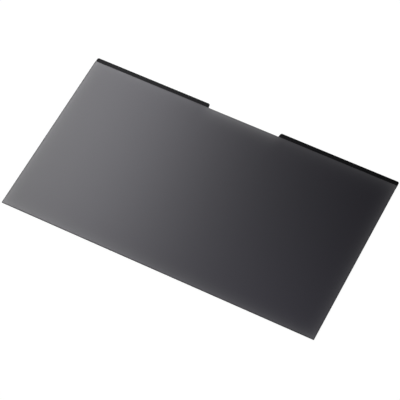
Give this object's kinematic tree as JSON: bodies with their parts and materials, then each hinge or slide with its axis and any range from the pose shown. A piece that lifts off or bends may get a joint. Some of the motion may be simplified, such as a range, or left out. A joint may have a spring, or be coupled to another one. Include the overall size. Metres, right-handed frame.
{
  "type": "laptop privacy filter",
  "caption": "Flat dark louvre film for a wide laptop display, with black magnet strips behind its top margin on each side of a clear stretch for the webcam.",
  "frame": {"origin": "under the middle of the whole outline, on the plane of the strips' magnet faces", "axes": "+X along the film's long side, +Y towards the magnet strips, which is up in use, +Z out of the viewing face"},
  "size_m": [0.294, 0.1706, 0.0014],
  "materials": {
    "louvre_film": "satin",
    "rubber_magnet": "matte",
    "bond_tape": "matte"
  },
  "bodies": {
    "root": {"filter_sheet": "louvre_film", "left_magnet_strip": "rubber_magnet", "right_magnet_strip": "rubber_magnet", "left_bond_tape": "bond_tape", "right_bond_tape": "bond_tape"}
  },
  "joints": []
}
